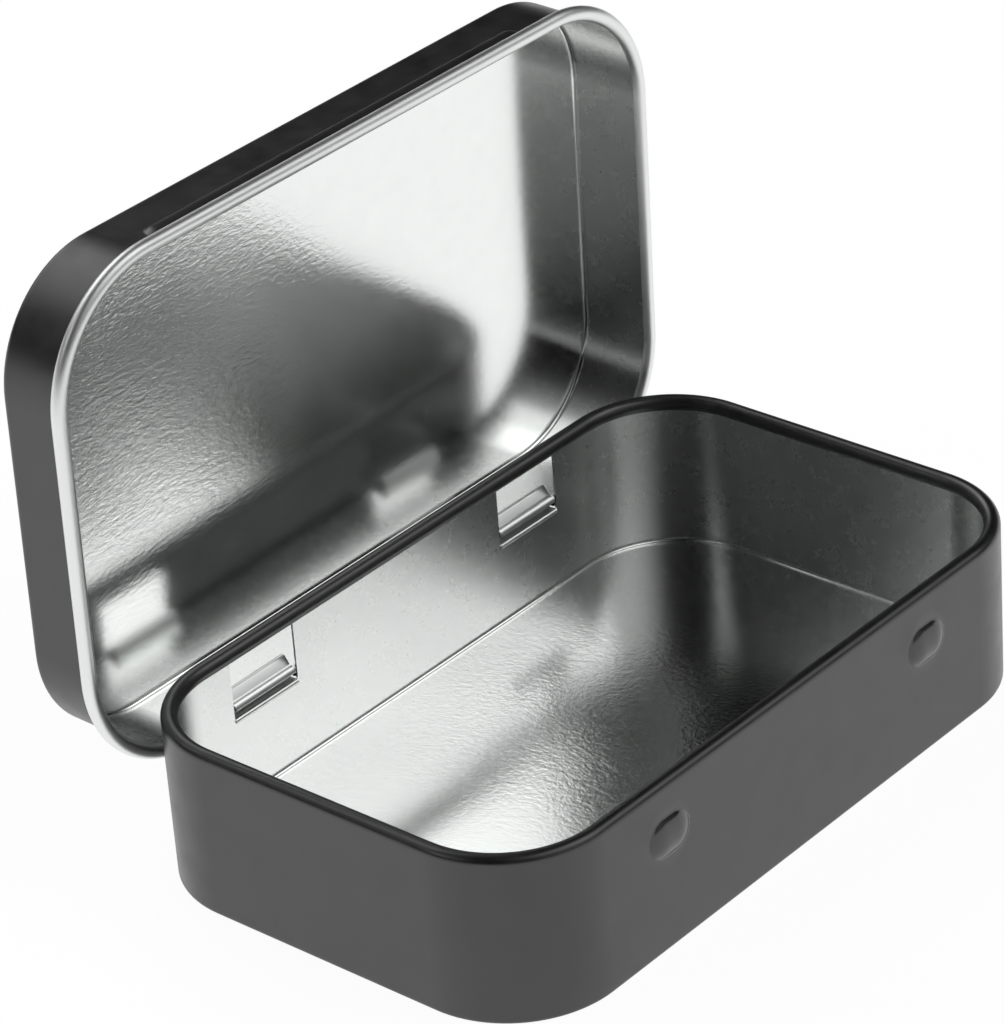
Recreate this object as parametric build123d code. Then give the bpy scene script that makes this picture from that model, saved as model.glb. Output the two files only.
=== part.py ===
from build123d import *
import math
import os

# Pocket tin with a hinged lid, drawn from thin tinplate, shown open as it stands by itself.
# Millimetres, +Z up. The origin is the middle of the base's flat underside, X runs along the
# long side and +Y points to the hinge.
# The base and the lid are two pressings. Each is split where its form changes: tray or pan,
# rolled rim, and the rolled hinge parts at its back.

# Sheet and base
sheet = 0.25
base_length = 90.2
base_width = 55.8
base_height = 20.0
base_corner = 12.8
base_bend = 0.5
base_curl_radius = 0.94
base_curl_turn = 288.0

# Latch bumps pressed out of the front of the base, with their crests low
bump_width = 6.3
bump_height = 4.6
bump_depth = 0.62
bump_drop = 6.35
bump_crest_width = 3.2
bump_crest_height = 0.7
bump_crest_drop = 0.55

# Lid, with its gaps to the base when shut
side_gap = 0.55
rear_gap = 0.30
front_gap = 0.75
headroom = 0.25
lid_bend = 0.8
lid_curl_radius = 0.85
lid_curl_turn = 285.0
ridge_length = 58.5
ridge_height = 2.6
ridge_depth = 0.3
ridge_crest_height = 0.4
ridge_crest_rise = 0.5
ridge_over_curl = 0.3

# Hinge
axis_outset = 0.50
axis_height = 11.2
open_angle = 89.0
rim_drop = 0.45
hinge_spread = 44.4
window_width = 10.1
window_drop = 2.4
window_corner = 0.4
pin_radius = 0.50
pin_turn = 280.0
pin_clearance = 0.07
lip_clearance = 0.13
lip_side_slit = 0.10
lip_bend = 0.20
riser_bend = 0.10
tongue_side_gap = 0.30
tongue_rise = 1.65
tongue_end_angle = 268.0
root_bend = 0.25
root_turn = 84.0
tab_fold = 0.12
tab_turn = 137.6
tab_set_in = 1.414
tab_lift = 0.925
tab_foot_outer = 178.0
tab_foot_inner = 166.0
notch_side_gap = 0.60

overrun = 2.0

# Heights and places worked out from the sizes above
base_wall_top = base_height - base_curl_radius
rear_face = base_width / 2
axis_y = rear_face + axis_outset
hinge_places = {"left": -hinge_spread / 2, "right": hinge_spread / 2}
hinge_axis = Axis((0, axis_y, axis_height), (1, 0, 0))

lid_inner_length = base_length + 2 * side_gap
lid_inner_width = base_width + rear_gap + front_gap
lid_shift = (rear_gap - front_gap) / 2
lid_inner_corner = base_corner + (side_gap + rear_gap) / 2
lid_under = base_height + headroom
lid_top = lid_under + sheet
lid_curl_height = axis_height - rim_drop + lid_curl_radius
skirt_rear = rear_face + rear_gap
skirt_front = lid_shift - lid_inner_width / 2

tongue_inner = pin_radius + pin_clearance
tongue_outer = tongue_inner + sheet
tongue_width = window_width - 2 * tongue_side_gap
tongue_root_z = axis_height + tongue_rise
lip_width = window_width - 2 * lip_side_slit
notch_width = lip_width + 2 * notch_side_gap
shelf_top = axis_height - tongue_outer - lip_clearance
lip_bend_outer = lip_bend + sheet
window_bottom = shelf_top - lip_bend_outer
window_top = base_height - window_drop


def point_about(centre_y, centre_z, radius, angle):
    """A point in the hinge's cross-section, Y then Z, at an angle from +Y about a centre."""
    turn = math.radians(angle)
    return (centre_y + radius * math.cos(turn), centre_z + radius * math.sin(turn))


def polar(radius, angle):
    """The same, about the hinge's axis."""
    return point_about(axis_y, axis_height, radius, angle)


def arc_about(centre_y, centre_z, radius, start, end):
    """An arc in the cross-section plane, from one angle to the other."""
    angles = (start, (start + end) / 2, end)
    return ThreePointArc(*[point_about(centre_y, centre_z, radius, angle) for angle in angles])


def across(profile, width, x):
    """Extrude a cross-section drawn in Y and Z along X, centred at x."""
    face = Plane.YZ * make_face(profile)
    return Pos(x, 0, 0) * extrude(face, amount=width / 2, both=True)


def curl_section(radius, start, turn):
    """The rolled edge's C-shaped section about its own centre: outward is +X, up is +Y."""
    inner = radius - sheet
    first, last = math.radians(start), math.radians(start + turn)
    outer_arc = CenterArc((0, 0), radius, start, turn)
    inner_arc = CenterArc((0, 0), inner, start, turn)
    near_end = Line((inner * math.cos(first), inner * math.sin(first)),
                    (radius * math.cos(first), radius * math.sin(first)))
    far_end = Line((inner * math.cos(last), inner * math.sin(last)),
                   (radius * math.cos(last), radius * math.sin(last)))
    return make_face([outer_arc, far_end, inner_arc, near_end])


def rolled_rim(length, width, corner, height, shift, section):
    """Carry a section round a rounded rectangle that runs through the section's centre."""
    path = (Pos(0, shift, height) * RectangleRounded(length, width, corner)).wire()
    start = path @ 0
    along = path % 0
    outward = Vector(along.Y, -along.X, 0)
    if outward.dot(start - Vector(0, shift, height)) < 0:
        outward = outward * -1
    plane = Plane(origin=start, x_dir=outward, z_dir=outward.cross(Vector(0, 0, 1)))
    return sweep(plane * section, path=path)


def pressed_out(shell, length, height, depth, crest_length, crest_height, crest_shift, face_y, z, x):
    """Swell an oblong out of a front wall, its crest above or below its middle, the sheet kept."""
    foot_plane = Plane(origin=(x, face_y, z), x_dir=(1, 0, 0), z_dir=(0, -1, 0))
    crest_plane = Plane(origin=(x, face_y - depth, z + crest_shift), x_dir=(1, 0, 0), z_dir=(0, -1, 0))
    foot = foot_plane * SlotOverall(length, height)
    crest = crest_plane * SlotOverall(crest_length, crest_height)
    swell = loft(Sketch() + [foot, crest])
    return shell + swell - Pos(0, sheet, 0) * swell


def base_tray():
    outer = extrude(RectangleRounded(base_length, base_width, base_corner), amount=base_wall_top)
    outer = fillet(outer.edges().group_by(Axis.Z)[0], radius=base_bend)
    hollow_plan = RectangleRounded(base_length - 2 * sheet, base_width - 2 * sheet, base_corner - sheet)
    hollow = Pos(0, 0, sheet) * extrude(hollow_plan, amount=base_wall_top)
    hollow = fillet(hollow.edges().group_by(Axis.Z)[0], radius=base_bend - sheet)
    tray = outer - hollow
    window = Box(window_width, 2 * (sheet + overrun), window_top - window_bottom)
    window = fillet(window.edges().filter_by(Axis.Y).group_by(Axis.Z)[-1], radius=window_corner)
    for x in hinge_places.values():
        tray -= Pos(x, rear_face, (window_top + window_bottom) / 2) * window
        tray = pressed_out(tray, bump_width, bump_height, bump_depth, bump_crest_width, bump_crest_height,
                           -bump_crest_drop, -base_width / 2, base_height - bump_drop, x)
    return tray


def base_rim_curl():
    inset = 2 * base_curl_radius
    section = curl_section(base_curl_radius, 0, base_curl_turn)
    return rolled_rim(base_length - inset, base_width - inset, base_corner - base_curl_radius,
                      base_wall_top, 0, section)


def hinge_pin(x):
    """The window's lower edge: bent out under the hinge, up, and rolled into the pin."""
    wall_inner = rear_face - sheet
    shelf_under = shelf_top - sheet
    bend_y = wall_inner + lip_bend_outer
    riser_outer = axis_y + pin_radius
    riser_inner = riser_outer - sheet
    foot_y = riser_inner - riser_bend
    foot_z = shelf_top + riser_bend
    foot_outer = riser_bend + sheet
    roll_inner = pin_radius - sheet
    profile = [
        Line((wall_inner, window_bottom), (rear_face, window_bottom)),
        arc_about(bend_y, window_bottom, lip_bend, 180, 90),
        Line((bend_y, shelf_under), (foot_y, shelf_under)),
        arc_about(foot_y, foot_z, foot_outer, 270, 360),
        Line((riser_outer, foot_z), (riser_outer, axis_height)),
        arc_about(axis_y, axis_height, pin_radius, 0, pin_turn),
        Line(polar(pin_radius, pin_turn), polar(roll_inner, pin_turn)),
        arc_about(axis_y, axis_height, roll_inner, pin_turn, 0),
        Line((riser_inner, axis_height), (riser_inner, foot_z)),
        arc_about(foot_y, foot_z, riser_bend, 360, 270),
        Line((foot_y, shelf_top), (bend_y, shelf_top)),
        arc_about(bend_y, window_bottom, lip_bend_outer, 90, 180),
    ]
    return across(profile, lip_width, x)


def lid_pan():
    """The lid's panel and skirt, in the shut pose."""
    skirt_height = lid_top - lid_curl_height
    plan = RectangleRounded(lid_inner_length + 2 * sheet, lid_inner_width + 2 * sheet,
                            lid_inner_corner + sheet)
    outer = Pos(0, lid_shift, lid_curl_height) * extrude(plan, amount=skirt_height)
    outer = fillet(outer.edges().group_by(Axis.Z)[-1], radius=lid_bend)
    hollow_plan = RectangleRounded(lid_inner_length, lid_inner_width, lid_inner_corner)
    hollow_depth = lid_under - lid_curl_height
    hollow = Pos(0, lid_shift, lid_under - skirt_height) * extrude(hollow_plan, amount=skirt_height)
    hollow = fillet(hollow.edges().group_by(Axis.Z)[-1], radius=lid_bend - sheet)
    pan = outer - hollow
    notch_height = tongue_root_z - lid_curl_height
    for x in hinge_places.values():
        notch = Box(notch_width, sheet + overrun, notch_height + overrun)
        pan -= Pos(x, skirt_rear, tongue_root_z - (notch_height + overrun) / 2) * notch
    ridge_z = lid_curl_height + lid_curl_radius + ridge_over_curl + ridge_height / 2
    crest_length = ridge_length - ridge_height + ridge_crest_height
    return pressed_out(pan, ridge_length, ridge_height, ridge_depth, crest_length, ridge_crest_height,
                       ridge_crest_rise, skirt_front - sheet, ridge_z, 0)


def lid_curls():
    """The lid's rolled edge, cut where the tongues leave the skirt: the rear stretch, then the rest."""
    outset = 2 * lid_curl_radius
    section = curl_section(lid_curl_radius, 180, lid_curl_turn)
    rim = rolled_rim(lid_inner_length + outset, lid_inner_width + outset,
                     lid_inner_corner + lid_curl_radius, lid_curl_height, lid_shift, section)
    for x in hinge_places.values():
        notch = Box(notch_width, 2 * (outset + overrun), 2 * (outset + overrun))
        rim -= Pos(x, skirt_rear, lid_curl_height) * notch
    return rim.solids().sort_by(SortBy.VOLUME)


def hinge_tongue(x):
    """The strip that leaves the skirt, doubles back as a tab in the window and wraps the pin."""
    root = (skirt_rear - root_bend, tongue_root_z)
    fold = (axis_y - tab_set_in, axis_height + tab_lift)
    first = 180.0 - root_turn
    last = first + tab_turn
    profile = [
        Line((skirt_rear + sheet, tongue_root_z), (skirt_rear, tongue_root_z)),
        arc_about(*root, root_bend, 0, -root_turn),
        Line(point_about(*root, root_bend, -root_turn), point_about(*fold, tab_fold + sheet, first)),
        arc_about(*fold, tab_fold + sheet, first, last),
        Line(point_about(*fold, tab_fold + sheet, last), polar(tongue_outer, tab_foot_outer)),
        arc_about(axis_y, axis_height, tongue_outer, tab_foot_outer, tongue_end_angle),
        Line(polar(tongue_outer, tongue_end_angle), polar(tongue_inner, tongue_end_angle)),
        arc_about(axis_y, axis_height, tongue_inner, tongue_end_angle, tab_foot_inner),
        Line(polar(tongue_inner, tab_foot_inner), point_about(*fold, tab_fold, last)),
        arc_about(*fold, tab_fold, last, first),
        Line(point_about(*fold, tab_fold, first), point_about(*root, root_bend + sheet, -root_turn)),
        arc_about(*root, root_bend + sheet, -root_turn, 0),
    ]
    return across(profile, tongue_width, x)


def opened(piece):
    """Turn a piece of the lid from shut to the open pose."""
    return piece.rotate(hinge_axis, -open_angle)


rear_stretch, rest_of_rim = lid_curls()
nodes = {
    "base_tray": base_tray(),
    "base_rim_curl": base_rim_curl(),
    "lid_pan": opened(lid_pan()),
    "lid_rim_curl": opened(rest_of_rim),
    "lid_rear_curl": opened(rear_stretch),
}
for side, place in hinge_places.items():
    nodes[f"hinge_pin_{side}"] = hinge_pin(place)
    nodes[f"hinge_tongue_{side}"] = opened(hinge_tongue(place))

os.makedirs("parts", exist_ok=True)
for name, piece in nodes.items():
    export_step(piece, f"parts/{name}.step")
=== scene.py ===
import math

import bmesh
import bpy
from mathutils import Matrix, Vector


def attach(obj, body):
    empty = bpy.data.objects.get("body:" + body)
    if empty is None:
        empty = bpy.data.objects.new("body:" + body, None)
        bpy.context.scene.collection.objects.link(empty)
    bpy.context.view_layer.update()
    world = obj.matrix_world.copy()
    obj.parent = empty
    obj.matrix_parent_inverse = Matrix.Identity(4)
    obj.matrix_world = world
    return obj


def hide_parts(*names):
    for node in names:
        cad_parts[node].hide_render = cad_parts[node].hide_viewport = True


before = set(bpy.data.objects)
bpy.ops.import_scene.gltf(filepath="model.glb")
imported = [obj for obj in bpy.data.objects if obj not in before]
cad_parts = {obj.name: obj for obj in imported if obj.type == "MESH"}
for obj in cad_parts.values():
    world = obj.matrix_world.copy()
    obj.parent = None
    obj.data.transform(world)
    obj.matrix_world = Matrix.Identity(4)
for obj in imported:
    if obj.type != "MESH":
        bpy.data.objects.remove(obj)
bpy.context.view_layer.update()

# Sizes in millimetres, as the part's source has them; MM turns them into metres.
MM = 0.001
SHEET = 0.25

BASE_LENGTH, BASE_WIDTH, BASE_HEIGHT = 90.2, 55.8, 20.0
BASE_CORNER = 12.8
BASE_BEND = 0.5
FLOOR_FILLET = 0.45
BASE_ROLL = 0.94
BASE_ROLL_TURN = 288
WALL_TOP = BASE_HEIGHT - BASE_ROLL

# Oblongs pressed out of the front walls. A crest under zero lies below the oblong's middle, and a
# doming under 1 makes the crown flatter and the foot steeper.
BUMP_WIDTH, BUMP_HEIGHT, BUMP_DEPTH = 6.3, 4.6, 0.7
BUMP_Z, BUMP_CREST = 13.65, -0.25
RIDGE_LENGTH, RIDGE_HEIGHT, RIDGE_DEPTH = 58.5, 2.6, 0.3
RIDGE_Z, RIDGE_CREST = 14.05, 0.5
DOMING = 0.8

# The lid, drawn shut; LID_SHIFT is where its outline has its middle along Y.
LID_INNER_LENGTH, LID_INNER_WIDTH = 91.3, 56.85
LID_INNER_CORNER = 13.225
LID_SHIFT = -0.225
LID_UNDER = 20.25
LID_TOP = LID_UNDER + SHEET
LID_BEND = 0.8
LID_ROLL = 0.85
LID_ROLL_TURN = 285
LID_ROLL_Z = 11.6

# The hinges, drawn with the lid shut. Turns and ends are in degrees; TAB_Y and TAB_Z are taken from
# the hinge's axis.
AXIS_Y, AXIS_Z = 28.4, 11.2
OPEN_ANGLE = 89
HINGE_X = 22.2
WINDOW_WIDTH = 10.1
WINDOW_BOTTOM, WINDOW_TOP = 9.8, 17.6
WINDOW_CORNER = 0.4
PIN_RADIUS = 0.5
PIN_TURN = 280
LIP_WIDTH = 9.9
LIP_BEND = 0.2
SHELF_TOP = 10.25
RISER_BEND = 0.1
TONGUE_WIDTH = 9.5
TONGUE_INNER, TONGUE_OUTER = 0.57, 0.82
TONGUE_END = 268
TONGUE_ROOT_Z = 12.85
ROOT_BEND, ROOT_TURN = 0.25, 84
TAB_FOLD, TAB_TURN = 0.12, 137.6
TAB_Y, TAB_Z = -1.414, 0.925
TAB_FOOT_OUTER, TAB_FOOT_INNER = 178, 166
BEAD_RADIUS = 0.33
BEAD_Y, BEAD_Z = 27.76, 9.98
BEAD_END = 222
NOTCH_WIDTH = 11.1

# How finely a bend is cut, on the outside and the inside of the sheet.
CORNER_STEPS = 24
BEND_STEPS, LID_BEND_STEPS = 8, 10
ROLL_STEPS, ROLL_INNER_STEPS = 40, 28
PIN_STEPS, PIN_INNER_STEPS = 30, 20
LIP_STEPS, LIP_INNER_STEPS, BEAD_STEPS = 6, 4, 16
WRAP_STEPS, TAB_STEPS, TAB_INNER_STEPS, ROOT_STEPS = 18, 10, 6, 5
WINDOW_CORNER_STEPS = 5

# Where flat sheet is cut, in millimetres: beside each bend and end, so that its shading stays flat,
# at plain places along a side or up a wall, and closely (start, end, step) where it is pressed out.
BEND_GUARD, STRIP_GUARD = 0.15, 0.2
FLOOR_BORDER = 2.5
MIDDLE_CUT, ROLL_CUTS = 8.0, (10.0, 20.0)
TRAY_FRONT_CUT, PAN_FRONT_CUT = 15.0, 18.0
BASE_LOW_CUTS, BASE_HIGH_CUT = [4.0, 7.0], 17.0
LID_LOW_CUTS, LID_HIGH_CUT = [12.2, 12.45, 12.65], 16.5
BUMP_LEVELS, RIDGE_LEVELS = (11.1, 16.2, 0.17), (13.0, 15.5, 0.156)
BUMP_MARGIN, BUMP_STEP = 0.4, 0.18
RIDGE_END_INSIDE, RIDGE_END_OUTSIDE, RIDGE_STEP = 1.5, 0.2, 0.16

# Places within TOLERANCE, in millimetres, count as one; corners within WELD, in metres, are merged.
TOLERANCE = 0.01
WELD = 1e-6
SHARP = math.radians(34)


# Drawing and carrying the sheet's section

class Pen:
    """Draws a section as a chain of edges, across X, with straight runs and arcs."""

    def __init__(self, bm, x, y, sign):
        self.bm, self.x, self.y, self.sign = bm, x, y, sign
        self.skin = bm.verts.layers.float.get("painted") or bm.verts.layers.float.new("painted")
        self.painted = 0.0
        self.first = self.tip = None

    def at(self, across, height):
        return Vector((self.x, self.y + self.sign * across, height)) * MM

    def begin(self, across, height, painted=False):
        self.painted = float(painted)
        self.tip = bmesh.ops.create_vert(self.bm, co=self.at(across, height))["vert"][0]
        self.tip[self.skin] = self.painted
        self.first = self.tip
        return self

    def line(self, across, height, painted=None):
        if painted is not None:
            self.painted = float(painted)
        self.tip = bmesh.ops.extrude_vert_indiv(self.bm, verts=[self.tip])["verts"][0]
        self.tip.co = self.at(across, height)
        self.tip[self.skin] = self.painted
        return self

    def climb(self, across, heights):
        for height in heights:
            self.line(across, height)
        return self

    def arc(self, across, height, turn, steps):
        done = bmesh.ops.spin(self.bm, geom=[self.tip], cent=self.at(across, height),
                              axis=(self.sign, 0, 0), dvec=(0, 0, 0), angle=math.radians(turn),
                              steps=steps, use_duplicate=False)
        self.tip = [v for v in done["geom_last"] if isinstance(v, bmesh.types.BMVert)][0]
        return self

    def close(self):
        self.bm.edges.new((self.tip, self.first))
        return self


def on_circle(y, z, radius, degrees):
    turn = math.radians(degrees)
    return y + radius * math.cos(turn), z + radius * math.sin(turn)


def newest(done, key):
    """The verts and edges at the far end of an extrusion or a spin."""
    verts = [v for v in done[key] if isinstance(v, bmesh.types.BMVert)]
    held = set(verts)
    edges = [e for e in done[key] if isinstance(e, bmesh.types.BMEdge) and held.issuperset(e.verts)]
    return verts, edges


def carry_straight(bm, edges, way, stops):
    """Carry a section along a straight run that is cut at the stops, distances from its start."""
    verts, last = None, 0.0
    for stop in stops:
        verts, edges = newest(bmesh.ops.extrude_edge_only(bm, edges=edges), "geom")
        bmesh.ops.translate(bm, verts=verts, vec=Vector(way) * (stop - last) * MM)
        last = stop
    return verts, edges


def carry_round(bm, length, width, corner, shift, front, rear):
    """Carry the section drawn at the front's left end once round a rounded rectangle."""
    half_x, half_y = length / 2 - corner, width / 2 - corner
    ends = [BEND_GUARD, half_y, 2 * half_y - BEND_GUARD, 2 * half_y]
    runs = [
        ((1, 0, 0), [half_x + x for x in front], (half_x, -half_y)),
        ((0, 1, 0), ends, (half_x, half_y)),
        ((-1, 0, 0), [half_x + x for x in rear], (-half_x, half_y)),
        ((0, -1, 0), ends, (-half_x, -half_y)),
    ]
    edges = bm.edges[:]
    for way, stops, (x, y) in runs:
        verts, edges = carry_straight(bm, edges, way, stops)
        centre = Vector((x, y + shift, 0)) * MM
        done = bmesh.ops.spin(bm, geom=verts + edges, cent=centre, axis=(0, 0, 1), dvec=(0, 0, 0),
                              angle=math.pi / 2, steps=CORNER_STEPS, use_duplicate=False)
        verts, edges = newest(done, "geom_last")
    bmesh.ops.remove_doubles(bm, verts=bm.verts, dist=WELD)


def stops_along(length, corner, marks, fine=()):
    """Stops on a straight side: beside its ends, at the marks on both sides, and close in stretches."""
    half = length / 2 - corner
    stops = {-half + BEND_GUARD, half - BEND_GUARD, half, 0.0}
    for mark in marks:
        stops.update((mark, -mark))
    for start, end, step in fine:
        count = round((end - start) / step)
        for k in range(count + 1):
            place = start + (end - start) * k / count
            stops.update((round(place, 4), round(-place, 4)))
    return sorted(stops)


def spread(start, end, step):
    """Even places from start to end, about a step apart."""
    count = max(1, round((end - start) / step))
    return [start + (end - start) * k / count for k in range(count + 1)]


def strip_stops(width):
    """Stops across a narrow strip."""
    return [STRIP_GUARD, width / 2, width - STRIP_GUARD, width]


# Shaping walls, and turning meshes into pieces

def press_out(bm, x, z, length, height, depth, crest, face_y):
    """Press an oblong out of a front wall, both skins, with its crest above or below its middle."""
    half, radius = (length - height) / 2, height / 2
    for v in bm.verts:
        px, py, pz = v.co / MM
        along, up = max(0.0, abs(px - x) - half), pz - z
        if abs(py - face_y) > 2 * SHEET or math.hypot(along, up) >= radius:
            continue
        # fall is 0 at the crest and 1 at the foot, along lines that widen evenly between the two
        q, room = up - crest, radius ** 2 - crest ** 2
        lean = q * crest
        fall = (lean + math.sqrt(lean ** 2 + room * (along ** 2 + q ** 2))) / room
        v.co.y -= depth * (1 - min(1.0, fall) ** 2) ** DOMING * MM


def cut_opening(bm, x, width, bottom, top, rear_y):
    """Take a window or a notch out of both skins of a rear wall and close its edges."""
    inside = []
    for f in bm.faces:
        cx, cy, cz = f.calc_center_median() / MM
        if abs(cx - x) < width / 2 and bottom < cz < top and abs(cy - rear_y) < 2 * SHEET:
            inside.append(f)
    bmesh.ops.delete(bm, geom=inside, context="FACES")
    rim = []
    for e in bm.edges:
        if not e.is_boundary:
            continue
        a, b = (v.co / MM for v in e.verts)
        if max(abs(a.x - x), abs(b.x - x)) < width / 2 + TOLERANCE and abs(a.y - b.y) < SHEET / 2:
            if min(abs(a.y - rear_y), abs(b.y - rear_y)) < 2 * SHEET:
                rim.append(e)
    bmesh.ops.bridge_loops(bm, edges=rim)


def round_corners(bm, x, width, z, rear_y, radius):
    """Round the two corners of an opening at a height."""
    edges = []
    for e in bm.edges:
        a, b = (v.co / MM for v in e.verts)
        across = abs(a.y - b.y) > SHEET / 2 and abs(a.x - b.x) < TOLERANCE and abs(a.z - b.z) < TOLERANCE
        if across and abs(abs(a.x - x) - width / 2) < TOLERANCE and abs(a.z - z) < TOLERANCE:
            if min(abs(a.y - rear_y), abs(b.y - rear_y)) < SHEET / 2:
                edges.append(e)
    bmesh.ops.bevel(bm, geom=edges, offset=radius * MM, offset_type="OFFSET",
                    segments=WINDOW_CORNER_STEPS, profile=0.5, affect="EDGES", material=-1,
                    clamp_overlap=True)


def fill_floor(bm, height):
    """Fill the open middle of a floor or a panel at one height."""
    loop = [e for e in bm.edges if e.is_boundary
            and all(abs(v.co.z / MM - height) < TOLERANCE for v in e.verts)]
    bmesh.ops.edgeloop_fill(bm, edges=loop)


def cap_ends(bm):
    """Close every open end with a face."""
    bmesh.ops.edgeloop_fill(bm, edges=[e for e in bm.edges if e.is_boundary])


def swing_open(bm):
    """Turn what was drawn on the shut lid to where it stands open."""
    centre = Vector((0, AXIS_Y, AXIS_Z)) * MM
    turn = Matrix.Rotation(math.radians(-OPEN_ANGLE), 3, "X")
    bmesh.ops.rotate(bm, cent=centre, matrix=turn, verts=bm.verts)


def finish_piece(bm, name, body, nodes, materials):
    """Close a mesh up as a piece: outward normals, paint and bare faces, smooth shading."""
    bmesh.ops.remove_doubles(bm, verts=bm.verts, dist=WELD)
    bmesh.ops.recalc_face_normals(bm, faces=bm.faces)
    skin = bm.verts.layers.float.get("painted")
    for f in bm.faces:
        f.smooth = True
        f.material_index = 0 if all(v[skin] > 0.5 for v in f.verts) else 1
    mesh = bpy.data.meshes.new(name)
    bm.to_mesh(mesh)
    bm.free()
    mesh.set_sharp_from_angle(angle=SHARP)
    for material in materials:
        mesh.materials.append(material)
    piece = bpy.data.objects.new(name, mesh)
    bpy.context.collection.objects.link(piece)
    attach(piece, body)
    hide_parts(*nodes)
    return piece


# Materials. A pattern's scale is in repeats per metre, and depths and reaches are in metres.

# Where most of a noise pattern's values lie
NOISE_LOW, NOISE_HIGH = 0.3, 0.7
MARK_ROUGHNESS = 0.6
ENAMEL_DARK, ENAMEL_LIGHT = (0.011, 0.0112, 0.012, 1), (0.021, 0.0212, 0.0218, 1)
ENAMEL_IOR = 1.77
ENAMEL_WAVES, ENAMEL_MARKS = 38.0, 900.0
# Scale, detail and roughness of the mottle and the flecks; the grain already scales the flecks
MOTTLE, FLECKS = (260.0, 5.0, 0.62), (1.0, 3.0, 0.65)
MOTTLE_LIGHT = 0.72
ENAMEL_GLOSS = (0.30, 0.40)
PEEL_DEPTH, PEEL_STRENGTH = 0.000006, 0.6
ENAMEL_WAVE_DEPTH, ENAMEL_WAVE_STRENGTH = 0.00012, 0.5
TIN_DARK, TIN_LIGHT = (0.875, 0.892, 0.882, 1), (0.905, 0.918, 0.908, 1)
TIN_WAVES, TIN_MARKS = 30.0, 420.0
TIN_WAVE_DEPTH, TIN_WAVE_STRENGTH = 0.0004, 0.35
FLECK_DEPTH = 0.000039
PLAIN_FLECKS = 0.12
FLECKS_LEAST, FLECKS_MOST = 0.03, 1.0
WALL_SHEEN = 0.27
SHEEN_LEAST, SHEEN_MOST = 0.96, 1.04
# Nearer than the first reach the third value holds, and farther than the second reach the fourth.
RUBBED = (0.012, 0.028, 1.5, 0.25)
POLISHED = (0.0028, 0.0038, 0.5, 1.0)


def node_tree(owner):
    """A material's or a world's node tree, emptied."""
    owner.use_nodes = True
    tree = owner.node_tree
    tree.nodes.clear()
    return tree


def add(tree, kind, **values):
    """Add a node, with its settings by attribute name and its inputs by socket name."""
    node = tree.nodes.new(kind)
    for key, value in values.items():
        if key in node.inputs:
            node.inputs[key].default_value = value
        else:
            setattr(node, key, value)
    return node


def work_out(tree, operation, *values, kind="ShaderNodeMath"):
    """A Math or Vector Math node that gives one value, on values that are sockets or constants."""
    node = add(tree, kind, operation=operation)
    for socket, value in zip(node.inputs, values):
        if isinstance(value, bpy.types.NodeSocket):
            tree.links.new(value, socket)
        else:
            socket.default_value = value
    return node.outputs["Value"]


def measure(tree, operation, place, mark):
    """How far a place lies along a way (DOT_PRODUCT) or from a mark (DISTANCE)."""
    return work_out(tree, operation, place, mark, kind="ShaderNodeVectorMath")


def remap(tree, value, low, high, to_low, to_high):
    """A value mapped from one range to another and held within it; the ends may be sockets."""
    node = add(tree, "ShaderNodeMapRange")
    tree.links.new(value, node.inputs["Value"])
    for key, amount in (("From Min", low), ("From Max", high), ("To Min", to_low), ("To Max", to_high)):
        if isinstance(amount, bpy.types.NodeSocket):
            tree.links.new(amount, node.inputs[key])
        else:
            node.inputs[key].default_value = amount
    return node.outputs["Result"]


def object_coords(tree):
    return add(tree, "ShaderNodeTexCoord").outputs["Object"]


def noise(tree, coords, scale, detail, roughness):
    """A noise pattern; its scale may be a socket."""
    node = add(tree, "ShaderNodeTexNoise", Detail=detail, Roughness=roughness)
    tree.links.new(coords, node.inputs["Vector"])
    if isinstance(scale, bpy.types.NodeSocket):
        tree.links.new(scale, node.inputs["Scale"])
    else:
        node.inputs["Scale"].default_value = scale
    return node.outputs["Fac"]


def tinted(tree, value, low, dark, high, light):
    """A colour that goes from dark to light as a value goes from low to high."""
    ramp = add(tree, "ShaderNodeValToRGB")
    for end, place, colour in zip(ramp.color_ramp.elements, (low, high), (dark, light)):
        end.position = place
        end.color = colour
    tree.links.new(value, ramp.inputs["Fac"])
    return ramp.outputs["Color"]


def bump(tree, height, distance, strength, under=None):
    """A Bump node's normal, on top of the normal under it; its strength may be a socket."""
    node = add(tree, "ShaderNodeBump", Distance=distance)
    tree.links.new(height, node.inputs["Height"])
    if isinstance(strength, bpy.types.NodeSocket):
        tree.links.new(strength, node.inputs["Strength"])
    else:
        node.inputs["Strength"].default_value = strength
    if under is not None:
        tree.links.new(under, node.inputs["Normal"])
    return node.outputs["Normal"]


def new_group(name, inputs, outputs):
    """An empty node group with named sockets, and the nodes at its two ends."""
    group = bpy.data.node_groups.new(name, "ShaderNodeTree")
    for socket, kind in inputs:
        group.interface.new_socket(socket, in_out="INPUT", socket_type=kind)
    for socket in outputs:
        group.interface.new_socket(socket, in_out="OUTPUT", socket_type="NodeSocketFloat")
    return group, group.nodes.new("NodeGroupInput"), group.nodes.new("NodeGroupOutput")


def sheet_marks_group():
    """Marks that all of the sheet carries: slow waves of the sheet, and fine handling marks."""
    inputs = [("Wave Scale", "NodeSocketFloat"), ("Mark Scale", "NodeSocketFloat")]
    group, entry, leave = new_group("sheet marks", inputs, ["Waves", "Marks"])
    coords = object_coords(group)
    for source, target, detail in (("Wave Scale", "Waves", 1.0), ("Mark Scale", "Marks", 6.0)):
        field = noise(group, coords, entry.outputs[source], detail, MARK_ROUGHNESS)
        group.links.new(field, leave.inputs[target])
    return group


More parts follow.
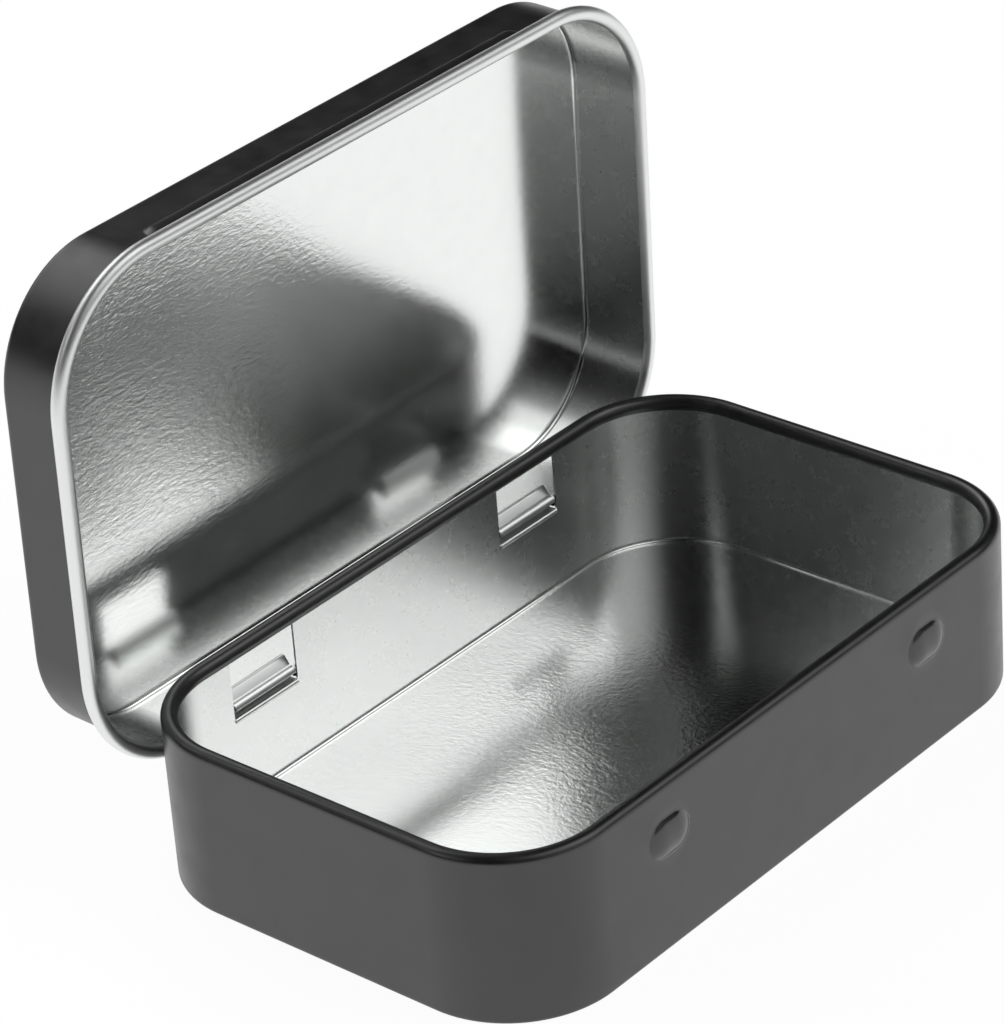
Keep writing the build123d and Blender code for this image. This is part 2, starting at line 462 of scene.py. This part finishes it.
def tin_wear_group():
    """What bare tinplate carries: flecks along its grain, and masks of its flat and rubbed parts."""
    inputs = [("Grain", "NodeSocketVector"), ("Flat Way", "NodeSocketVector"),
              ("Flat From", "NodeSocketFloat"), ("Flat To", "NodeSocketFloat"),
              ("Rubbed Spot", "NodeSocketVector")]
    group, entry, leave = new_group("tin wear", inputs, ["Flecks", "Flat", "Rubbed"])
    coords = object_coords(group)
    grain = add(group, "ShaderNodeMapping")
    group.links.new(coords, grain.inputs["Vector"])
    group.links.new(entry.outputs["Grain"], grain.inputs["Scale"])
    group.links.new(noise(group, grain.outputs["Vector"], *FLECKS), leave.inputs["Flecks"])
    along = measure(group, "DOT_PRODUCT", coords, entry.outputs["Flat Way"])
    flat = remap(group, along, entry.outputs["Flat From"], entry.outputs["Flat To"], 0.0, 1.0)
    group.links.new(flat, leave.inputs["Flat"])
    reach = measure(group, "DISTANCE", coords, entry.outputs["Rubbed Spot"])
    group.links.new(remap(group, reach, *RUBBED), leave.inputs["Rubbed"])
    return group


SHEET_MARKS, TIN_WEAR = sheet_marks_group(), tin_wear_group()


def place_group(tree, group, **values):
    """Place a node group, its inputs given by name with _ for a space; gives its outputs in turn."""
    node = tree.nodes.new("ShaderNodeGroup")
    node.node_tree = group
    for key, value in values.items():
        node.inputs[key.replace("_", " ")].default_value = value
    return node.outputs


def black_enamel():
    """Satin black baked enamel with a faint mottle, polished where the lid rubs on the bumps."""
    material = bpy.data.materials.new("black_enamel")
    tree = node_tree(material)
    out = add(tree, "ShaderNodeOutputMaterial")
    paint = add(tree, "ShaderNodeBsdfPrincipled", IOR=ENAMEL_IOR)
    waves, fine = place_group(tree, SHEET_MARKS, Wave_Scale=ENAMEL_WAVES, Mark_Scale=ENAMEL_MARKS)
    coords = object_coords(tree)
    mottle = noise(tree, coords, *MOTTLE)
    tint = tinted(tree, mottle, NOISE_LOW, ENAMEL_DARK, MOTTLE_LIGHT, ENAMEL_LIGHT)
    tree.links.new(tint, paint.inputs["Base Color"])

    split = add(tree, "ShaderNodeSeparateXYZ")
    mirrored = add(tree, "ShaderNodeCombineXYZ")
    tree.links.new(coords, split.inputs[0])
    tree.links.new(work_out(tree, "ABSOLUTE", split.outputs["X"]), mirrored.inputs["X"])
    tree.links.new(split.outputs["Y"], mirrored.inputs["Y"])
    tree.links.new(split.outputs["Z"], mirrored.inputs["Z"])
    bump_middle = Vector((HINGE_X, -BASE_WIDTH / 2, BUMP_Z)) * MM
    reach = measure(tree, "DISTANCE", mirrored.outputs["Vector"], bump_middle)
    satin = remap(tree, mottle, NOISE_LOW, NOISE_HIGH, *ENAMEL_GLOSS)
    polish = remap(tree, reach, *POLISHED)
    tree.links.new(work_out(tree, "MULTIPLY", satin, polish), paint.inputs["Roughness"])

    peel = bump(tree, fine, PEEL_DEPTH, PEEL_STRENGTH)
    warped = bump(tree, waves, ENAMEL_WAVE_DEPTH, ENAMEL_WAVE_STRENGTH, peel)
    tree.links.new(warped, paint.inputs["Normal"])
    tree.links.new(paint.outputs["BSDF"], out.inputs["Surface"])
    return material


def varied(tree, fine, sheen):
    """A roughness that the handling marks vary a little."""
    return remap(tree, fine, NOISE_LOW, NOISE_HIGH, sheen * SHEEN_LEAST, sheen * SHEEN_MOST)


def tinplate(name, grain, sheen, flat_part=None):
    """Bare tinplate: an even finish, or one with a flat part that is flecked most where it is rubbed.

    flat_part holds the way that it faces, the two places along that way between which the wall turns
    into it, and the middle of its rubbed spot. sheen is the roughness of it, or of all where there
    is none."""
    material = bpy.data.materials.new(name)
    tree = node_tree(material)
    out = add(tree, "ShaderNodeOutputMaterial")
    tin = add(tree, "ShaderNodeBsdfPrincipled", Metallic=1.0)
    waves, fine = place_group(tree, SHEET_MARKS, Wave_Scale=TIN_WAVES, Mark_Scale=TIN_MARKS)
    tint = tinted(tree, fine, NOISE_LOW, TIN_DARK, NOISE_HIGH, TIN_LIGHT)
    tree.links.new(tint, tin.inputs["Base Color"])
    gloss = varied(tree, fine, sheen)
    if flat_part is None:
        flecks = place_group(tree, TIN_WEAR, Grain=grain)["Flecks"]
        strength = PLAIN_FLECKS
        tree.links.new(gloss, tin.inputs["Roughness"])
    else:
        way, start, whole, spot = flat_part
        flecks, flat, rubbed = place_group(tree, TIN_WEAR, Grain=grain, Flat_Way=way, Flat_From=start,
                                           Flat_To=whole, Rubbed_Spot=spot)
        patchy = work_out(tree, "MULTIPLY", flat, rubbed)
        strength = remap(tree, patchy, 0.0, RUBBED[2], FLECKS_LEAST, FLECKS_MOST)
        both = add(tree, "ShaderNodeMix", data_type="FLOAT")
        tree.links.new(flat, both.inputs["Factor"])
        tree.links.new(varied(tree, fine, WALL_SHEEN), both.inputs["A"])
        tree.links.new(gloss, both.inputs["B"])
        tree.links.new(both.outputs["Result"], tin.inputs["Roughness"])
    flecked = bump(tree, flecks, FLECK_DEPTH, strength)
    warped = bump(tree, waves, TIN_WAVE_DEPTH, TIN_WAVE_STRENGTH, flecked)
    tree.links.new(warped, tin.inputs["Normal"])
    tree.links.new(tin.outputs["BSDF"], out.inputs["Surface"])
    return material


# The base

def draw_base_section(bm):
    half_x = BASE_LENGTH / 2 - BASE_CORNER
    fillet = SHEET + FLOOR_FILLET
    levels = [fillet + BEND_GUARD, *BASE_LOW_CUTS, WINDOW_BOTTOM, *spread(*BUMP_LEVELS)]
    levels += [BASE_HIGH_CUT, WINDOW_TOP, WALL_TOP - BEND_GUARD]
    pen = Pen(bm, -half_x, -BASE_WIDTH / 2, -1)
    pen.begin(-FLOOR_BORDER, SHEET).line(-fillet - BEND_GUARD, SHEET).line(-fillet, SHEET)
    pen.arc(-fillet, fillet, 90, BEND_STEPS).climb(-SHEET, levels + [WALL_TOP])
    pen.line(0, WALL_TOP, True).climb(0, levels[::-1] + [BASE_BEND])
    pen.arc(-BASE_BEND, BASE_BEND, -90, BEND_STEPS)
    pen.line(-BASE_BEND - BEND_GUARD, 0).line(-FLOOR_BORDER, 0)


def make_tray(materials):
    """The base's floor and walls, with the bumps and the hinge windows."""
    bm = bmesh.new()
    draw_base_section(bm)
    reach = BUMP_WIDTH / 2 + BUMP_MARGIN
    bumps = (HINGE_X - reach, HINGE_X + reach, BUMP_STEP)
    front = stops_along(BASE_LENGTH, BASE_CORNER, (MIDDLE_CUT, TRAY_FRONT_CUT), [bumps])
    window = [HINGE_X - WINDOW_WIDTH / 2, HINGE_X + WINDOW_WIDTH / 2]
    rear = stops_along(BASE_LENGTH, BASE_CORNER, window + [MIDDLE_CUT, HINGE_X])
    carry_round(bm, BASE_LENGTH, BASE_WIDTH, BASE_CORNER, 0, front, rear)
    fill_floor(bm, SHEET)
    fill_floor(bm, 0)
    for x in (-HINGE_X, HINGE_X):
        press_out(bm, x, BUMP_Z, BUMP_WIDTH, BUMP_HEIGHT, BUMP_DEPTH, BUMP_CREST, -BASE_WIDTH / 2)
        cut_opening(bm, x, WINDOW_WIDTH, WINDOW_BOTTOM, WINDOW_TOP, BASE_WIDTH / 2)
        round_corners(bm, x, WINDOW_WIDTH, WINDOW_TOP, BASE_WIDTH / 2, WINDOW_CORNER)
    return finish_piece(bm, "base_tray_pressing", "base", ["base_tray"], materials)


def make_base_roll(materials):
    """The base's rim, rolled inwards with its paint outside."""
    bm = bmesh.new()
    half_x = BASE_LENGTH / 2 - BASE_CORNER
    pen = Pen(bm, -half_x, -BASE_WIDTH / 2, -1)
    pen.begin(0, WALL_TOP, True).arc(-BASE_ROLL, WALL_TOP, BASE_ROLL_TURN, ROLL_STEPS)
    pen.line(*on_circle(-BASE_ROLL, WALL_TOP, BASE_ROLL - SHEET, BASE_ROLL_TURN), False)
    pen.arc(-BASE_ROLL, WALL_TOP, -BASE_ROLL_TURN, ROLL_INNER_STEPS).close()
    sides = stops_along(BASE_LENGTH, BASE_CORNER, ROLL_CUTS)
    carry_round(bm, BASE_LENGTH, BASE_WIDTH, BASE_CORNER, 0, sides, sides)
    return finish_piece(bm, "base_rolled_rim", "base", ["base_rim_curl"], materials)


def make_pin(name, x, node, materials):
    """The window's lower lip, bent out under the hinge, up, and rolled into the pin.

    A small bead along its root fills the bend into the wall."""
    bm = bmesh.new()
    wall_inner = BASE_WIDTH / 2 - SHEET
    bend_y = wall_inner + LIP_BEND + SHEET
    riser_outer = AXIS_Y + PIN_RADIUS
    foot_y, foot_z = riser_outer - SHEET - RISER_BEND, SHELF_TOP + RISER_BEND
    pen = Pen(bm, x - LIP_WIDTH / 2, 0, 1)
    pen.begin(wall_inner, WINDOW_BOTTOM).line(BASE_WIDTH / 2, WINDOW_BOTTOM, True)
    pen.arc(bend_y, WINDOW_BOTTOM, -90, LIP_STEPS).line(foot_y, SHELF_TOP - SHEET)
    pen.arc(foot_y, foot_z, 90, LIP_STEPS).line(riser_outer, AXIS_Z)
    pen.arc(AXIS_Y, AXIS_Z, PIN_TURN, PIN_STEPS)
    pen.line(*on_circle(AXIS_Y, AXIS_Z, PIN_RADIUS - SHEET, PIN_TURN), False)
    pen.arc(AXIS_Y, AXIS_Z, -PIN_TURN, PIN_INNER_STEPS).line(riser_outer - SHEET, foot_z)
    pen.arc(foot_y, foot_z, -90, LIP_INNER_STEPS)
    bead_start = math.degrees(math.asin((SHELF_TOP - BEAD_Z) / BEAD_RADIUS))
    pen.line(*on_circle(BEAD_Y, BEAD_Z, BEAD_RADIUS, bead_start))
    pen.arc(BEAD_Y, BEAD_Z, BEAD_END - bead_start, BEAD_STEPS).close()
    carry_straight(bm, bm.edges[:], (1, 0, 0), strip_stops(LIP_WIDTH))
    bmesh.ops.remove_doubles(bm, verts=bm.verts, dist=WELD)
    cap_ends(bm)
    return finish_piece(bm, name, "base", [node], materials)


# The lid, drawn shut and then swung open

def lid_pen(bm):
    """A pen on the lid's outer face, and the length, width and corner radius of that face."""
    length, width = LID_INNER_LENGTH + 2 * SHEET, LID_INNER_WIDTH + 2 * SHEET
    half_x = LID_INNER_LENGTH / 2 - LID_INNER_CORNER
    return Pen(bm, -half_x, LID_SHIFT - width / 2, -1), length, width, LID_INNER_CORNER + SHEET


def make_pan(materials):
    """The lid's panel and skirt, with the ridge and the notches at the hinges."""
    bm = bmesh.new()
    pen, length, width, corner = lid_pen(bm)
    top = LID_TOP - LID_BEND
    levels = [LID_ROLL_Z + BEND_GUARD, *LID_LOW_CUTS, TONGUE_ROOT_Z, *spread(*RIDGE_LEVELS)]
    levels += [LID_HIGH_CUT, top - BEND_GUARD]
    pen.begin(-FLOOR_BORDER, LID_UNDER)
    pen.line(-LID_BEND - BEND_GUARD, LID_UNDER).line(-LID_BEND, LID_UNDER)
    pen.arc(-LID_BEND, top, -90, BEND_STEPS).climb(-SHEET, levels[::-1] + [LID_ROLL_Z])
    pen.line(0, LID_ROLL_Z, True).climb(0, levels + [top])
    pen.arc(-LID_BEND, top, 90, LID_BEND_STEPS)
    pen.line(-LID_BEND - BEND_GUARD, LID_TOP).line(-FLOOR_BORDER, LID_TOP)
    end = RIDGE_LENGTH / 2
    ridge_end = (end - RIDGE_END_INSIDE, end + RIDGE_END_OUTSIDE, RIDGE_STEP)
    front = stops_along(length, corner, (MIDDLE_CUT, PAN_FRONT_CUT), [ridge_end])
    notch = [HINGE_X - NOTCH_WIDTH / 2, HINGE_X + NOTCH_WIDTH / 2]
    rear = stops_along(length, corner, notch + [MIDDLE_CUT, HINGE_X])
    carry_round(bm, length, width, corner, LID_SHIFT, front, rear)
    fill_floor(bm, LID_UNDER)
    fill_floor(bm, LID_TOP)
    front_y = LID_SHIFT - width / 2
    press_out(bm, 0, RIDGE_Z, RIDGE_LENGTH, RIDGE_HEIGHT, RIDGE_DEPTH, RIDGE_CREST, front_y)
    for x in (-HINGE_X, HINGE_X):
        cut_opening(bm, x, NOTCH_WIDTH, 0, TONGUE_ROOT_Z, LID_SHIFT + width / 2)
    swing_open(bm)
    return finish_piece(bm, "lid_pan_pressing", "lid", ["lid_pan"], materials)


def draw_lid_roll(pen, across):
    """The lid's edge rolled outwards, so that its bare inner face is the one that shows."""
    pen.begin(across - LID_ROLL, LID_ROLL_Z).arc(across, LID_ROLL_Z, LID_ROLL_TURN, ROLL_STEPS)
    pen.line(*on_circle(across, LID_ROLL_Z, LID_ROLL - SHEET, 180 + LID_ROLL_TURN), True)
    pen.arc(across, LID_ROLL_Z, -LID_ROLL_TURN, ROLL_INNER_STEPS).close()


def make_lid_rolls(materials):
    """The lid's rolled edge: one piece from hinge to hinge round the front, one between the hinges."""
    bm = bmesh.new()
    pen, length, width, corner = lid_pen(bm)
    draw_lid_roll(pen, LID_ROLL - SHEET)
    far = HINGE_X + NOTCH_WIDTH / 2
    near = HINGE_X - NOTCH_WIDTH / 2
    front = stops_along(length, corner, ROLL_CUTS)
    rear = stops_along(length, corner, (far, ROLL_CUTS[0]))
    carry_round(bm, length, width, corner, LID_SHIFT, front, rear)
    behind = [f for f in bm.faces if abs(f.calc_center_median().x) < far * MM
              and f.calc_center_median().y > 0]
    bmesh.ops.delete(bm, geom=behind, context="FACES")
    cap_ends(bm)
    swing_open(bm)
    finish_piece(bm, "lid_rolled_edge", "lid", ["lid_rim_curl"], materials)

    bm = bmesh.new()
    draw_lid_roll(Pen(bm, -near, LID_SHIFT + width / 2, 1), LID_ROLL - SHEET)
    carry_straight(bm, bm.edges[:], (1, 0, 0), [near, 2 * near])
    cap_ends(bm)
    swing_open(bm)
    finish_piece(bm, "lid_rolled_edge_rear", "lid", ["lid_rear_curl"], materials)


def make_tongue(name, x, node, materials):
    """The strip that leaves the skirt, stands up as a folded tab and wraps the pin."""
    bm = bmesh.new()
    skirt = LID_SHIFT + LID_INNER_WIDTH / 2
    root = (skirt - ROOT_BEND, TONGUE_ROOT_Z)
    fold = (AXIS_Y + TAB_Y, AXIS_Z + TAB_Z)
    first = 180 - ROOT_TURN
    last = first + TAB_TURN
    pen = Pen(bm, x - TONGUE_WIDTH / 2, 0, 1)
    pen.begin(skirt, TONGUE_ROOT_Z).arc(*root, -ROOT_TURN, ROOT_STEPS)
    pen.line(*on_circle(*fold, TAB_FOLD + SHEET, first)).arc(*fold, TAB_TURN, TAB_STEPS)
    pen.line(*on_circle(AXIS_Y, AXIS_Z, TONGUE_OUTER, TAB_FOOT_OUTER))
    pen.arc(AXIS_Y, AXIS_Z, TONGUE_END - TAB_FOOT_OUTER, WRAP_STEPS)
    pen.line(*on_circle(AXIS_Y, AXIS_Z, TONGUE_INNER, TONGUE_END), True)
    pen.arc(AXIS_Y, AXIS_Z, TAB_FOOT_INNER - TONGUE_END, WRAP_STEPS)
    pen.line(*on_circle(*fold, TAB_FOLD, last)).arc(*fold, -TAB_TURN, TAB_INNER_STEPS)
    pen.line(*on_circle(*root, ROOT_BEND + SHEET, -ROOT_TURN))
    pen.arc(*root, ROOT_TURN, ROOT_STEPS).close()
    carry_straight(bm, bm.edges[:], (1, 0, 0), strip_stops(TONGUE_WIDTH))
    cap_ends(bm)
    swing_open(bm)
    return finish_piece(bm, name, "lid", [node], materials)


# Stage, light and camera, in metres

STAGE_REACH = 3.0
FLOOR_COLOUR = (0.88, 0.88, 0.88, 1)
WHITE = (1, 1, 1, 1)
FLOOR_SHARE, FLOOR_GLOW = 0.86, 1.10
LIGHTS = [
    # direction, half-angles in degrees at which it is full and gone, strength
    ((0.455, -0.500, 0.737), 12, 22, 1.50),
    ((0.174, -0.777, 0.605), 18, 45, 0.38),
    ((0.015, 0.743, 0.669), 11.4, 30, 1.49),
    ((0.332, 0.772, 0.542), 6, 16, 1.49),
    ((-0.743, 0.346, 0.573), 5.8, 15.8, 1.40),
    ((-0.022, -0.528, 0.849), 3.3, 13.5, 1.08),
]
ROOM = 0.003
HORIZON_FULL, HORIZON_GONE = 0.02, 0.05

SENSOR_WIDTH, LENS = 36.0, 169.916
CAMERA_PLACE = (-0.327443, -0.284345, 0.279381)
CAMERA_RIGHT = (0.6402705, -0.7652566, -0.0666035)
CAMERA_UP = (0.4175774, 0.2739739, 0.8663530)
CAMERA_BACK = (-0.6447347, -0.5825124, 0.4949712)


def seen_directly(tree):
    """1 for rays that the camera, a gloss or a glass sends out, 0 for the light's own."""
    path = add(tree, "ShaderNodeLightPath")
    total = path.outputs["Is Camera Ray"]
    for name in ("Is Glossy Ray", "Is Transmission Ray"):
        total = work_out(tree, "MAXIMUM", total, path.outputs[name])
    return total, path


def mix_shaders(tree, share, first, second, out):
    """Send a mix of two shaders to an output."""
    mix = add(tree, "ShaderNodeMixShader")
    tree.links.new(share, mix.inputs["Fac"])
    tree.links.new(first, mix.inputs[1])
    tree.links.new(second, mix.inputs[2])
    tree.links.new(mix.outputs["Shader"], out.inputs["Surface"])


def make_floor():
    """A pale floor that takes the tin's shadow and looks white to the camera and in reflections."""
    bm = bmesh.new()
    bmesh.ops.create_grid(bm, x_segments=1, y_segments=1, size=STAGE_REACH)
    mesh = bpy.data.meshes.new("floor")
    bm.to_mesh(mesh)
    bm.free()
    floor = bpy.data.objects.new("floor", mesh)
    bpy.context.collection.objects.link(floor)
    material = bpy.data.materials.new("white_floor")
    tree = node_tree(material)
    out = add(tree, "ShaderNodeOutputMaterial")
    matt = add(tree, "ShaderNodeBsdfDiffuse", Color=FLOOR_COLOUR)
    glow = add(tree, "ShaderNodeEmission", Color=WHITE, Strength=FLOOR_GLOW)
    seen, _ = seen_directly(tree)
    share = work_out(tree, "MULTIPLY", seen, FLOOR_SHARE)
    mix_shaders(tree, share, matt.outputs["BSDF"], glow.outputs["Emission"], out)
    mesh.materials.append(material)


def make_world():
    """A dim room with soft lights in it, white to the camera and, for reflections, at its horizon."""
    world = bpy.data.worlds.new("studio")
    bpy.context.scene.world = world
    tree = node_tree(world)
    out = add(tree, "ShaderNodeOutputWorld")
    coords = add(tree, "ShaderNodeTexCoord").outputs["Generated"]
    total = None
    for direction, full, gone, strength in LIGHTS:
        toward = measure(tree, "DOT_PRODUCT", coords, Vector(direction).normalized())
        edge, core = math.cos(math.radians(gone)), math.cos(math.radians(full))
        lobe = remap(tree, toward, edge, core, 0.0, strength)
        total = lobe if total is None else work_out(tree, "ADD", total, lobe)
    light = add(tree, "ShaderNodeBackground", Color=WHITE)
    tree.links.new(work_out(tree, "ADD", total, ROOM), light.inputs["Strength"])
    white = add(tree, "ShaderNodeBackground", Color=WHITE, Strength=1.0)

    seen, path = seen_directly(tree)
    split = add(tree, "ShaderNodeSeparateXYZ")
    tree.links.new(coords, split.inputs[0])
    horizon = remap(tree, split.outputs["Z"], HORIZON_FULL, HORIZON_GONE, 1.0, 0.0)
    low = work_out(tree, "MULTIPLY", seen, horizon)
    backdrop = work_out(tree, "MAXIMUM", path.outputs["Is Camera Ray"], low)
    mix_shaders(tree, backdrop, light.outputs["Background"], white.outputs["Background"], out)


def make_camera():
    """The camera that was fitted to the photograph."""
    data = bpy.data.cameras.new("camera")
    data.sensor_fit = "HORIZONTAL"
    data.sensor_width = SENSOR_WIDTH
    data.lens = LENS
    camera = bpy.data.objects.new("camera", data)
    turn = Matrix((CAMERA_RIGHT, CAMERA_UP, CAMERA_BACK)).transposed().to_4x4()
    camera.matrix_world = Matrix.Translation(CAMERA_PLACE) @ turn
    bpy.context.collection.objects.link(camera)
    bpy.context.scene.camera = camera


# The four finishes of bare tinplate: the grain's scale along X, Y and Z, the sheen, the flat part
BASE_GRAIN, LID_GRAIN, EVEN_GRAIN = (2000, 1450, 1600), (900, 1500, 2000), (900, 900, 900)
FLOOR_SHEEN, PANEL_SHEEN, ROLL_SHEEN, HINGE_SHEEN = 0.17, 0.15, 0.42, 0.34
FLOOR_EDGE = (0.0005, 0.0003)
PANEL_EDGE = (0.0004, 0.0002)
FLOOR_SPOT, PANEL_SPOT = (0.010, 0.004, 0), (-0.022, 0.037, 0.048)

lid_lean = math.radians(OPEN_ANGLE)
lid_way = Vector((0, math.sin(lid_lean), math.cos(lid_lean)))
panel_place = lid_way.dot((0, AXIS_Y, AXIS_Z)) * MM + (LID_UNDER - AXIS_Z) * MM
panel_edge = [panel_place - depth for depth in PANEL_EDGE]

enamel = black_enamel()
floor_part = ((0, 0, 1), *FLOOR_EDGE, FLOOR_SPOT)
panel_part = (lid_way, *panel_edge, PANEL_SPOT)
base_sheet = [enamel, tinplate("bare_tinplate_base", BASE_GRAIN, FLOOR_SHEEN, floor_part)]
lid_sheet = [enamel, tinplate("bare_tinplate_lid", LID_GRAIN, PANEL_SHEEN, panel_part)]
rolled_sheet = [enamel, tinplate("bare_tinplate_rolled", EVEN_GRAIN, ROLL_SHEEN)]
hinge_sheet = [enamel, tinplate("bare_tinplate_hinge", EVEN_GRAIN, HINGE_SHEEN)]

make_tray(base_sheet)
make_base_roll(rolled_sheet)
make_pan(lid_sheet)
make_lid_rolls(rolled_sheet)
for side, place in (("left", -HINGE_X), ("right", HINGE_X)):
    make_pin(f"window_lip_{side}", place, f"hinge_pin_{side}", hinge_sheet)
    make_tongue(f"lid_tongue_{side}", place, f"hinge_tongue_{side}", hinge_sheet)

make_floor()
make_world()
make_camera()
bpy.context.scene.view_settings.view_transform = "Standard"
